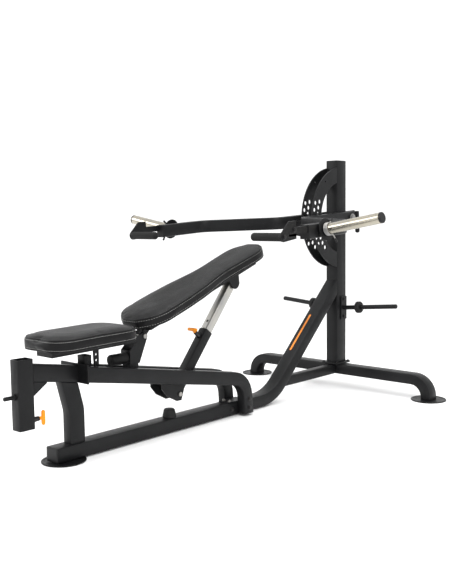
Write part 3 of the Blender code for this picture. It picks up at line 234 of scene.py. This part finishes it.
def coat_flange(obj):
    """Black coat on the disc of a horn; the rod itself stays plated."""
    sign = 1 if obj.name.endswith('right') else -1
    tilt = Matrix.Rotation(ARM_TILT, 3, 'X')
    direction = tilt @ Vector((sign * math.cos(HORN_TILT), 0, math.sin(HORN_TILT)))
    base = PIVOT + tilt @ Vector((sign * ARM_FACE_X, HORN_Y, 0))
    obj.data.materials.append(COAT)
    for face in obj.data.polygons:
        reach = [obj.matrix_world @ obj.data.vertices[i].co - base for i in face.vertices]
        off = [(r - direction * r.dot(direction)).length for r in reach]
        face.material_index = 1 if max(off) > HORN_R + 0.002 else 0


def dress_cad_nodes():
    for name, obj in NODES.items():
        material = next((m for start, m in BY_START if name.startswith(start)), COAT)
        obj.data.materials.clear()
        obj.data.materials.append(material)
        if 'custom_normal' in obj.data.attributes:
            obj.data.attributes.remove(obj.data.attributes['custom_normal'])
        if name in ('horn_left', 'horn_right'):
            coat_flange(obj)
        obj.data.shade_smooth()
        weld = obj.modifiers.new('weld', 'WELD')
        weld.merge_threshold = 0.00002
        bevel = obj.modifiers.new('edges', 'BEVEL')
        bevel.limit_method = 'ANGLE'
        bevel.angle_limit = math.radians(38)
        bevel.width = 0.0009
        bevel.segments = 2
        bevel.harden_normals = True


# ---------------------------------------------------------------- piece helpers
def new_piece(mesh, name, material, body, place=None):
    """An object of a bmesh whose vertices are in the given place's axes."""
    bmesh.ops.recalc_face_normals(mesh, faces=mesh.faces)
    data = bpy.data.meshes.new(name)
    mesh.to_mesh(data)
    mesh.free()
    if place:
        data.transform(place)
    data.shade_smooth()
    data.set_sharp_from_angle(angle=math.radians(35))
    data.materials.append(material)
    obj = bpy.data.objects.new(name, data)
    SCENE.collection.objects.link(obj)
    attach(obj, body)
    return obj


def ring_rows(mesh, rows, closed=False):
    made = [[mesh.verts.new(p) for p in row] for row in rows]
    pairs = list(zip(made, made[1:]))
    if closed:
        pairs.append((made[-1], made[0]))
    for low, high in pairs:
        for i in range(len(low)):
            j = (i + 1) % len(low)
            mesh.faces.new((low[i], low[j], high[j], high[i]))
    if not closed:
        mesh.faces.new(made[0])
        mesh.faces.new(made[-1])


def turned(mesh, profile, place, facets=24, phase=0.0):
    """Adds a capped turned form. profile is (radius, distance) along the place's Z."""
    rows = []
    for radius, distance in profile:
        rows.append([place @ Vector((radius * math.cos(phase + 2 * math.pi * i / facets),
                                     radius * math.sin(phase + 2 * math.pi * i / facets),
                                     distance)) for i in range(facets)])
    ring_rows(mesh, rows)


def axis_place(point, direction):
    turn = Vector(direction).normalized().to_track_quat('Z', 'Y').to_matrix().to_4x4()
    return Matrix.Translation(point) @ turn


def bolts(name, spots, body, radius=0.006, material=ZINC, place=None):
    """Washers and domed hex heads, each with a chamfered crown, as one piece.
    spots are (point on the face, outward direction)."""
    mesh = bmesh.new()
    place = place or Matrix.Identity(4)
    for index, (point, direction) in enumerate(spots):
        at = axis_place(Vector(point), direction)
        turned(mesh, [(radius * 1.9, 0.0001), (radius * 2.0, 0.0005), (radius * 2.0, 0.0014),
                      (radius * 1.9, 0.0018)], at, 24)
        tall = 0.0019 + radius * 0.9
        turned(mesh, [(radius * 1.45, 0.0019), (radius * 1.55, 0.0025),
                      (radius * 1.55, tall - 0.0008), (radius * 1.25, tall)], at, 6, index * 0.7)
        turned(mesh, [(radius * 0.75, tall + 0.0001), (radius * 0.70, tall + 0.0005)], at, 16)
    return new_piece(mesh, name, material, body, place)


def tube_along(mesh, points, radius, closed=False, facets=10):
    """Adds a round cord along points, kept from twisting."""
    count = len(points)
    rows = []
    across = None
    for i, point in enumerate(points):
        after = points[(i + 1) % count] if closed or i + 1 < count else point
        before = points[i - 1] if closed or i else point
        tangent = (after - before).normalized()
        if across is None:
            across = tangent.orthogonal().normalized()
        across = (across - tangent * across.dot(tangent)).normalized()
        other = tangent.cross(across)
        rows.append([point + (across * math.cos(2 * math.pi * k / facets)
                              + other * math.sin(2 * math.pi * k / facets)) * radius
                     for k in range(facets)])
    ring_rows(mesh, rows, closed)


def box_rows(mesh, low, high):
    corners = ((low[0], low[1]), (high[0], low[1]), (high[0], high[1]), (low[0], high[1]))
    ring_rows(mesh, [[Vector((x, y, z)) for x, y in corners] for z in (low[2], high[2])])


def edge_bevel(obj, width=0.001):
    bevel = obj.modifiers.new('edges', 'BEVEL')
    bevel.limit_method = 'ANGLE'
    bevel.width = width
    bevel.segments = 2
    bevel.harden_normals = True


# ---------------------------------------------------------------- soft pads
def inflate(obj, cap, floor):
    """Swells a pad with Cloth pressure. No point moves further than cap or goes under floor."""
    start = [v.co.copy() for v in obj.data.vertices]
    cloth = obj.modifiers.new('cloth', 'CLOTH')
    cloth.settings.use_pressure = True
    cloth.settings.uniform_pressure_force = 2.5
    cloth.settings.mass = 0.35
    cloth.settings.tension_stiffness = 25
    cloth.settings.compression_stiffness = 25
    cloth.settings.shear_stiffness = 12
    cloth.settings.bending_stiffness = 4
    cloth.settings.effector_weights.gravity = 0
    cloth.collision_settings.use_collision = False
    cloth.point_cache.frame_start = 1
    cloth.point_cache.frame_end = 20
    for number in range(1, 21):
        SCENE.frame_set(number)
    shape = obj.evaluated_get(bpy.context.evaluated_depsgraph_get())
    moved = [v.co.copy() for v in shape.data.vertices]
    obj.modifiers.remove(cloth)
    SCENE.frame_set(1)
    for vertex, old, new in zip(obj.data.vertices, start, moved):
        step = new - old
        if step.length > cap:
            step *= cap / step.length
        place = old + step
        place.z = max(place.z, floor)
        vertex.co = place


def soft_pad(node, place, shrink, cap, crown):
    """A pad grown from its CAD solid, in the pad's own axes, with its lowest and highest z."""
    source = NODES[node]
    data = source.data.copy()
    obj = bpy.data.objects.new(node.replace('_pad', '_cushion'), data)
    SCENE.collection.objects.link(obj)
    data.transform(place.inverted())
    mesh = bmesh.new()
    mesh.from_mesh(data)
    bmesh.ops.remove_doubles(mesh, verts=mesh.verts, dist=0.00005)
    low = min(v.co.z for v in mesh.verts)
    high = max(v.co.z for v in mesh.verts)
    mid_y = (min(v.co.y for v in mesh.verts) + max(v.co.y for v in mesh.verts)) / 2
    for vertex in mesh.verts:
        flat = Vector((vertex.co.x, vertex.co.y - mid_y))
        inset = flat.normalized() * min(shrink, flat.length)
        vertex.co.x -= inset.x
        vertex.co.y -= inset.y
        vertex.co.z = low + (vertex.co.z - low) * (1 - crown / (high - low))
    mesh.to_mesh(data)
    mesh.free()
    remesh = obj.modifiers.new('remesh', 'REMESH')
    remesh.mode = 'VOXEL'
    remesh.voxel_size = 0.0055
    smooth = obj.modifiers.new('smooth', 'SMOOTH')
    smooth.iterations = 6
    graph = bpy.context.evaluated_depsgraph_get()
    fine = bpy.data.meshes.new_from_object(obj.evaluated_get(graph))
    obj.modifiers.clear()
    obj.data = fine
    inflate(obj, cap, low + 0.0002)
    settle = obj.modifiers.new('settle', 'SMOOTH')
    settle.iterations = 5
    subdivide = obj.modifiers.new('subdivide', 'SUBSURF')
    subdivide.levels = subdivide.render_levels = 1
    fine = bpy.data.meshes.new_from_object(
        obj.evaluated_get(bpy.context.evaluated_depsgraph_get()))
    obj.modifiers.clear()
    obj.data = fine
    for vertex in fine.vertices:
        vertex.co.z = max(vertex.co.z, low + 0.0002)
    return obj, low, high


def level_loop(data, level, count):
    """Evenly spaced points of a pad's outline at a height, in order."""
    mesh = bmesh.new()
    mesh.from_mesh(data)
    cut = bmesh.ops.bisect_plane(mesh, geom=mesh.verts[:] + mesh.edges[:] + mesh.faces[:],
                                 plane_co=(0, 0, level), plane_no=(0, 0, 1))['geom_cut']
    links = {}
    for edge in (g for g in cut if isinstance(g, bmesh.types.BMEdge)):
        a, b = edge.verts
        links.setdefault(a, []).append(b)
        links.setdefault(b, []).append(a)
    start = max(links, key=lambda v: (round(v.co.x, 5), v.co.y))
    order = [start, links[start][0]]
    while len(order) <= len(links):
        ahead = [v for v in links[order[-1]] if v is not order[-2]]
        if not ahead or ahead[0] is start:
            break
        order.append(ahead[0])
    points = [v.co.copy() for v in order]
    mesh.free()
    lengths = [0.0]
    for a, b in zip(points, points[1:] + points[:1]):
        lengths.append(lengths[-1] + (b - a).length)
    even = []
    k = 0
    for i in range(count):
        want = lengths[-1] * i / count
        while lengths[k + 1] < want:
            k += 1
        part = (want - lengths[k]) / max(lengths[k + 1] - lengths[k], 1e-9)
        even.append(points[k].lerp(points[(k + 1) % len(points)], part))
    for _ in range(3):
        even = [(even[i - 1] + even[i] * 2 + even[(i + 1) % count]) / 4 for i in range(count)]
    return even


def outward(points):
    """Level unit normals that point out of a closed loop."""
    count = len(points)
    area = sum(points[i - 1].x * points[i].y - points[i].x * points[i - 1].y
               for i in range(count))
    sign = 1 if area > 0 else -1
    result = []
    for i in range(count):
        along = (points[(i + 1) % count] - points[i - 1]).normalized()
        result.append(Vector((along.y, -along.x, 0)) * sign)
    return result


def trim_pad(obj, low, high, place, body, name):
    """Welts round both edges of the pad, each with a row of stitches beside it."""
    band = high - low
    levels = ((low + 0.008, 0.0026), (low + band * 0.80, 0.0028))
    mesh = bmesh.new()
    for level, radius in levels:
        loop = level_loop(obj.data, level, 260)
        tube_along(mesh, [p + n * 0.0006 for p, n in zip(loop, outward(loop))], radius, True, 10)
    new_piece(mesh, name + '_piping', PIPING, body, place)
    mesh = bmesh.new()
    for level in (low + band * 0.80 - 0.007, low + 0.015):
        loop = level_loop(obj.data, level, 360)
        normals = outward(loop)
        for i in range(0, 360, 2):
            a, b = loop[i], loop[(i + 1) % 360]
            rise = normals[i] * 0.0007
            points = [a + rise * 0.2, a.lerp(b, 0.35) + rise * 1.3, a.lerp(b, 0.65) + rise * 1.3,
                      b + rise * 0.2]
            tube_along(mesh, points, 0.0008, False, 6)
    new_piece(mesh, name + '_stitches', THREAD, body, place)


def finish_pad(obj, node, place, body):
    obj.data.transform(place)
    obj.data.shade_smooth()
    obj.data.materials.clear()
    obj.data.materials.append(LEATHER)
    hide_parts(node)
    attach(obj, body)


def build_pads():
    for node, angle, body in (('seat_pad', SEAT_ANGLE, 'seat'), ('back_pad', BACK_ANGLE,
                                                                 'back_rest')):
        place = Matrix.Translation(HINGE) @ Matrix.Rotation(angle, 4, 'X')
        obj, low, high = soft_pad(node, place, 0.003, 0.006, 0.003)
        trim_pad(obj, low, high, place, body, node)
        finish_pad(obj, node, place, body)


# ---------------------------------------------------------------- fittings
def build_end_caps():
    """Moulded plugs in the open tube ends, each a rounded slab with a short inner skirt."""
    low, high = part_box('front_rail')
    middle = (low + high) / 2
    plug('front_rail_plug', (high.x - low.x, high.z - low.z), Matrix.Translation(
        (middle.x, low.y, middle.z)) @ Matrix.Rotation(math.pi / 2, 4, 'X'), 'frame')
    arm = Matrix.Translation(PIVOT) @ Matrix.Rotation(ARM_TILT, 4, 'X')
    for name, sign in SIDES:
        back = Matrix.Translation((sign * ARM_INNER_X, ARM_TAIL_Y, 0))
        back = back @ Matrix.Rotation(-math.pi / 2, 4, 'X')
        plug('arm_plug_' + name, ARM_SECTION, arm @ back, 'arm_' + name)


def plug(name, size, place, body):
    """Moulded plug: a skirt inside the tube, then a low rounded cap over its end."""
    def section(inset, z, corner=0.006):
        points = []
        for sx, sy, first in ((1, 1, 0), (-1, 1, 1), (-1, -1, 2), (1, -1, 3)):
            for step in range(4):
                angle = math.pi / 2 * (first + step / 3)
                points.append(Vector((sx * (size[0] / 2 - inset - corner)
                                      + corner * math.cos(angle),
                                      sy * (size[1] / 2 - inset - corner)
                                      + corner * math.sin(angle), z)))
        return points
    mesh = bmesh.new()
    rows = [section(0.0042, -0.012, 0.003), section(0.0042, 0.0004, 0.003),
            section(0.0006, 0.0005), section(0.0002, 0.0012), section(0.0004, 0.0026),
            section(0.0020, 0.0038), section(0.0090, 0.0043, 0.004)]
    ring_rows(mesh, rows)
    new_piece(mesh, name, PLASTIC, body, place)


def build_frame_bolts():
    low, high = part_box('base_plate')
    spots = [((x, y, high.z), (0, 0, 1)) for x in (low.x + 0.009, high.x - 0.009)
             for y in (low.y + 0.009, high.y - 0.009)]
    bolts('base_plate_bolts', spots, 'frame', 0.0042, DARK_STEEL)
    spots = []
    for name, sign in SIDES:
        low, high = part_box('storage_peg_' + name)
        inner = low.x if sign > 0 else high.x
        face = inner + sign * 0.008
        middle = (low.y + high.y) / 2
        spots += [((face, middle, z), (sign, 0, 0)) for z in (low.z + 0.016, low.z + 0.116)]
    bolts('storage_bolts', spots, 'frame', 0.0055, DARK_STEEL)
    spots = []
    for name, sign in SIDES:
        low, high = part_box('front_rail')
        side = high.x if sign > 0 else low.x
        spots += [((side, high.y - d, (low.z + high.z) / 2), (sign, 0, 0)) for d in (0.050,)]
        low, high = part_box('side_beam_' + name)
        side = high.x if sign > 0 else low.x
        spots += [((side, high.y - 0.034, z), (sign, 0, 0)) for z in (0.040, 0.085)]
    bolts('joint_bolts', spots, 'frame', 0.0060, DARK_STEEL)


def build_joint_strap():
    """Strap across the joint of the floor rail and the brace."""
    low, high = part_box('front_rail')
    mesh = bmesh.new()
    box_rows(mesh, (low.x + 0.003, high.y - 0.070, high.z + 0.0003),
             (high.x - 0.003, high.y + 0.055, high.z + 0.0053))
    strap = new_piece(mesh, 'joint_strap', COAT, 'frame')
    edge_bevel(strap)
    spots = [((x, high.y + y, high.z + 0.0053), (0, 0, 1)) for x in (-0.020, 0.020)
             for y in (-0.048,)]
    bolts('joint_strap_bolts', spots, 'frame', 0.0050)


def build_lever_fittings():
    arm = Matrix.Translation(PIVOT) @ Matrix.Rotation(ARM_TILT, 4, 'X')
    low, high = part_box('pivot_shaft')
    bolts('pivot_nuts', [((high.x, PIVOT.y, PIVOT.z), (1, 0, 0)),
                         ((low.x, PIVOT.y, PIVOT.z), (-1, 0, 0))], 'carriage', 0.0105)
    for name, sign in SIDES:
        face = sign * (BRACKET_X + BRACKET_HALF)
        spots = [((face, y, z), (sign, 0, 0)) for y, z in ((HANDLE_Y, HANDLE_Z),
                                                           (-1.036, 0.018))]
        bolts('bracket_bolts_' + name, spots, 'arm_' + name, 0.0062, DARK_STEEL, arm)
        mesh = bmesh.new()
        turned(mesh, [(0.0175, 0.0), (0.0195, 0.0004), (0.0203, 0.004), (0.0200, 0.007),
                      (0.0180, 0.009)],
               axis_place(Vector((sign * (BRACKET_X - 0.0044), HANDLE_Y, HANDLE_Z)),
                          (-sign, 0, 0)), 32)
        new_piece(mesh, 'handle_flange_' + name, PLASTIC, 'arm_' + name, arm)
        build_spring_collar(name, sign, arm)


def build_spring_collar(name, sign, arm):
    """Sprung wire collar: close turns round the horn and two dipped grips."""
    direction = Vector((sign * math.cos(HORN_TILT), 0, math.sin(HORN_TILT)))
    base = Vector((sign * ARM_FACE_X, HORN_Y, 0)) + direction * COLLAR_SEAT
    at = axis_place(base, direction)
    wire = 0.0026
    radius = HORN_R + wire + 0.0007
    turns = 3.6
    steps = 140
    start = math.radians(60)
    points = []
    for i in range(steps + 1):
        angle = start + 2 * math.pi * turns * i / steps
        points.append(at @ Vector((radius * math.cos(angle), radius * math.sin(angle),
                                   0.0003 + (wire * 2 + 0.0004) * turns * i / steps)))
    tips = []
    for end, sense in ((0, -1), (1, 1)):
        angle = start + 2 * math.pi * turns * end
        height = 0.0003 + (wire * 2 + 0.0004) * turns * end
        out = Vector((math.cos(angle), math.sin(angle), 0))
        along = Vector((-math.sin(angle), math.cos(angle), 0)) * sense
        tail = [at @ (Vector((0, 0, height)) + out * radius + along * 0.004 + out * 0.001),
                at @ (Vector((0, 0, height)) + out * (radius + 0.006) + along * 0.010),
                at @ (Vector((0, 0, height)) + out * (radius + 0.020) + along * 0.016),
                at @ (Vector((0, 0, height)) + out * (radius + 0.036) + along * 0.021)]
        tips.append((tail[2], tail[3]))
        points = points + tail if end else tail[::-1] + points
    mesh = bmesh.new()
    tube_along(mesh, points, wire, False, 12)
    spring = new_piece(mesh, 'collar_spring_' + name, ZINC, 'collar_' + name, arm)
    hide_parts('spring_collar_' + name)
    mesh = bmesh.new()
    for inner, outer in tips:
        reach = (outer - inner).normalized()
        length = (outer - inner).length + 0.004
        turned(mesh, [(0.0030, 0), (0.0048, 0.001), (0.0052, length * 0.6),
                      (0.0050, length - 0.002), (0.0032, length)], axis_place(inner, reach), 16)
    new_piece(mesh, 'collar_grips_' + name, PLASTIC, 'collar_' + name, arm)


def build_stripe():
    """Plain coloured stripe along the brace's upper face, a thin film with round ends."""
    centre = Vector(STRIPE_CENTRE) + Vector((0, SHIFT_Y, 0))
    place = Matrix.Translation(centre) @ Matrix.Rotation(BRACE_SLOPE, 4, 'X')
    half, reach, corner = 0.006, 0.128, 0.0055
    mesh = bmesh.new()
    rows = []
    for lift in (0.0001, 0.0006):
        ring = []
        for sx, sy, first in ((1, 1, 0), (-1, 1, 1), (-1, -1, 2), (1, -1, 3)):
            for step in range(5):
                angle = math.pi / 2 * (first + step / 4)
                ring.append(Vector((sx * (half - corner) + corner * math.cos(angle),
                                    sy * (reach - corner) + corner * math.sin(angle), lift)))
        rows.append(ring)
    ring_rows(mesh, rows)
    stripe = new_piece(mesh, 'brace_stripe', STRIPE, 'frame', place)


# ---------------------------------------------------------------- stage, light and camera
def build_stage():
    """Pale paper floor that curves up into a wall far behind the bench."""
    mesh = bmesh.new()
    reach = 9.0
    front, back, curve, top = -5.0, 5.6, 2.2, 8.0
    profile = [(front, 0.0), (back, 0.0)]
    for step in range(1, 13):
        angle = math.pi / 2 * step / 12
        profile.append((back + curve * math.sin(angle), curve - curve * math.cos(angle)))
    profile.append((back + curve, top))
    made = [[mesh.verts.new((x, y, z - 0.0002)) for x in (-reach, reach)] for y, z in profile]
    for low, high in zip(made, made[1:]):
        mesh.faces.new((low[0], low[1], high[1], high[0]))
    data = bpy.data.meshes.new('studio_floor')
    mesh.to_mesh(data)
    mesh.free()
    data.shade_smooth()
    floor = bpy.data.objects.new('studio_floor', data)
    floor.rotation_euler = (0, 0, math.radians(42))
    SCENE.collection.objects.link(floor)
    material, tree, shader = node_material('floor_paper', (0.93, 0.93, 0.93), 0.85)
    coords = object_coords(tree)
    fibre = noise(tree, coords, 3.0, 3.0)
    tree.links.new(colour_ramp(tree, fibre, ((0.3, (0.925, 0.925, 0.925)),
                                             (0.7, (0.935, 0.935, 0.935)))),
                   shader.inputs['Base Color'])
    data.materials.append(material)


def area_light(name, place, target, size, energy):
    light = bpy.data.lights.new(name, 'AREA')
    light.shape = 'RECTANGLE'
    light.size, light.size_y = size
    light.energy = energy
    obj = bpy.data.objects.new(name, light)
    obj.location = place
    obj.rotation_euler = (Vector(target) - Vector(place)).to_track_quat('-Z', 'Y').to_euler()
    SCENE.collection.objects.link(obj)


def build_light():
    world = bpy.data.worlds.new('studio')
    world.use_nodes = True
    world.node_tree.nodes['Background'].inputs['Color'].default_value = (1, 1, 1, 1)
    world.node_tree.nodes['Background'].inputs['Strength'].default_value = 1.1
    SCENE.world = world
    area_light('key', (3.6, -2.0, 3.4), (0, 0, 0.5), (2.4, 2.4), 120)
    area_light('fill', (-3.4, -3.2, 2.6), (0, -0.2, 0.5), (2.6, 2.0), 75)
    area_light('top', (0, 0.2, 4.4), (0, 0, 0.4), (3.2, 3.2), 110)
    SCENE.view_settings.view_transform = 'Standard'


def build_camera():
    azimuth, elevation, roll = (math.radians(a) for a in CAMERA_ANGLES)
    back = Vector((math.sin(azimuth) * math.cos(elevation),
                   -math.cos(azimuth) * math.cos(elevation), math.sin(elevation)))
    right = (-back).cross(Vector((0, 0, 1))).normalized()
    up = right.cross(-back)
    across = right * math.cos(roll) + up * math.sin(roll)
    upward = -right * math.sin(roll) + up * math.cos(roll)
    matrix = Matrix((across, upward, back)).transposed().to_4x4()
    matrix.translation = Vector(CAMERA_PLACE) + Vector((0, SHIFT_Y, 0))
    data = bpy.data.cameras.new('camera')
    data.sensor_fit = 'VERTICAL'
    data.sensor_height = 36
    data.lens = CAMERA_LENS
    camera = bpy.data.objects.new('camera', data)
    camera.matrix_world = matrix
    SCENE.collection.objects.link(camera)
    SCENE.camera = camera


build_camera()
dress_cad_nodes()
build_pads()
build_end_caps()
build_frame_bolts()
build_joint_strap()
build_lever_fittings()
build_stripe()
build_stage()
build_light()
